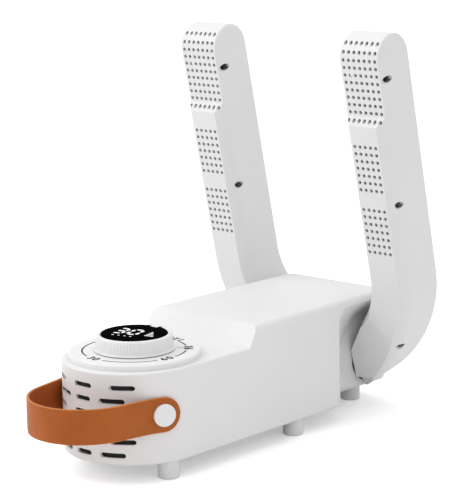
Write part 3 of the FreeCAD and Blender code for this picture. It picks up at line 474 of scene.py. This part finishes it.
def seven(digit, x, y):
    """A seven-bar figure with its lower left corner at x, y."""
    wide, half_high = 7.5, 7.0
    return [bar(x + a * wide, y + b * half_high, x + c * wide, y + d * half_high, 2.5)
            for a, b, c, d in (SEGMENTS[s] for s in DIGITS[digit])]


DISPLAY_LOW, DISPLAY_HIGH = 99.38, 99.44
glyphs = seven("3", -14.5, -7) + seven("0", -2.5, -7)
glyphs += [bar(11.5, -6 + 3.4 * k, 20.5 - 1.9 * k, -6 + 3.4 * k, 1.7) for k in range(4)]
glyphs += [bar(-12 + 5.0 * k, -13, -9 + 5.0 * k, -13, 1.3) for k in range(4)]
stamp("display_figures", glyphs, DISPLAY_LOW, DISPLAY_HIGH, glow, "base")


def make_knob_index():
    """The knob's small index tab: it stands on the ring and reaches over the display's rim."""
    section = [(20.6, 99.5), (20.9, 99.8), (21.6, 99.95), (25.6, 99.95), (26.3, 99.7), (26.7, 99.1),
               (26.75, 98.3), (25.2, 98.3), (25.2, 99.5)]
    upper = 99.6
    bm = bmesh.new()
    rings = []
    for x, drop in ((-3.4, 0.3), (-3.1, 0.08), (-2.6, 0.0), (2.6, 0.0), (3.1, 0.08), (3.4, 0.3)):
        rings.append([bm.verts.new(NOSE + Vector((x, y, z - drop if z > upper else z)) * MM)
                      for y, z in section])
    grid_faces(bm, rings)
    bm.faces.new(rings[0])
    bm.faces.new(rings[-1])
    piece("knob_index", bm, dial_white, "dial_knob", smooth=False)


make_knob_index()


# ---------------------------------------------------------------- surroundings

def pale_floor():
    """Pale board, lifted to white where the camera sees it, as a lit studio sweep is."""
    lift_strength = 0.32
    material = moulded("pale_floor", (0.93, 0.93, 0.93), 0.8, Emission_Color=(1, 1, 1, 1))
    tree = material.node_tree
    seen = tree.nodes.new("ShaderNodeLightPath").outputs["Is Camera Ray"]
    lift = tree.nodes.new("ShaderNodeMath")
    lift.operation = "MULTIPLY"
    lift.inputs[1].default_value = lift_strength
    tree.links.new(seen, lift.inputs[0])
    tree.links.new(lift.outputs["Value"], tree.nodes["Principled BSDF"].inputs["Emission Strength"])
    return material


def make_floor():
    bm = bmesh.new()
    steps, reach, drop = 24, 12.0, 0.2 * MM
    rows = [[bm.verts.new((-reach + 2 * reach * a / steps, -reach + 2 * reach * b / steps, -drop))
             for a in range(steps + 1)] for b in range(steps + 1)]
    grid_faces(bm, rows, closed_ring=False)
    mesh = bpy.data.meshes.new("floor")
    bm.to_mesh(mesh)
    bm.free()
    mesh.materials.append(pale_floor())
    floor = bpy.data.objects.new("floor", mesh)
    bpy.context.collection.objects.link(floor)


make_floor()


def area_light(name, place, aim, size, power):
    light = bpy.data.lights.new(name, "AREA")
    light.shape = "DISK"
    light.size = size
    light.energy = power
    obj = bpy.data.objects.new(name, light)
    obj.location = place
    way = Vector(aim) - Vector(place)
    obj.rotation_euler = way.to_track_quat("-Z", "Y").to_euler()
    bpy.context.collection.objects.link(obj)


area_light("key", (-1.6, -1.4, 1.8), (0, 0, 0.1), 1.8, 26.0)
area_light("top", (0.1, 0.3, 2.2), (0, 0, 0.1), 1.8, 11.5)
area_light("side", (2.0, -0.6, 1.7), (0, 0, 0.12), 1.6, 1.2)
world = bpy.data.worlds.new("studio")
world.use_nodes = True
world.node_tree.nodes["Background"].inputs["Color"].default_value = (1.0, 1.0, 1.0, 1)
world.node_tree.nodes["Background"].inputs["Strength"].default_value = 0.84
bpy.context.scene.world = world
bpy.context.scene.view_settings.view_transform = "Standard"

CAMERA_AT = Vector((978.5, -1059.2, 432.6)) * MM
SENSOR_MM, LENS_MM = 36.0, 138.8016
AZIMUTH, PITCH, ROLL = math.radians(42.137), math.radians(11.187), math.radians(-0.955)
right = Vector((math.cos(AZIMUTH), math.sin(AZIMUTH), 0))
level_ahead = Vector((-math.sin(AZIMUTH), math.cos(AZIMUTH), 0))
ahead = level_ahead * math.cos(PITCH) - Vector((0, 0, math.sin(PITCH)))
up = right.cross(ahead)
across_axis = right * math.cos(ROLL) + up * math.sin(ROLL)
up_axis = up * math.cos(ROLL) - right * math.sin(ROLL)
camera_data = bpy.data.cameras.new("camera")
camera_data.sensor_width = SENSOR_MM
camera_data.lens = LENS_MM
camera = bpy.data.objects.new("camera", camera_data)
turned_axes = Matrix((across_axis, up_axis, -ahead)).transposed()
camera.matrix_world = Matrix.Translation(CAMERA_AT) @ turned_axes.to_4x4()
bpy.context.collection.objects.link(camera)
bpy.context.scene.camera = camera
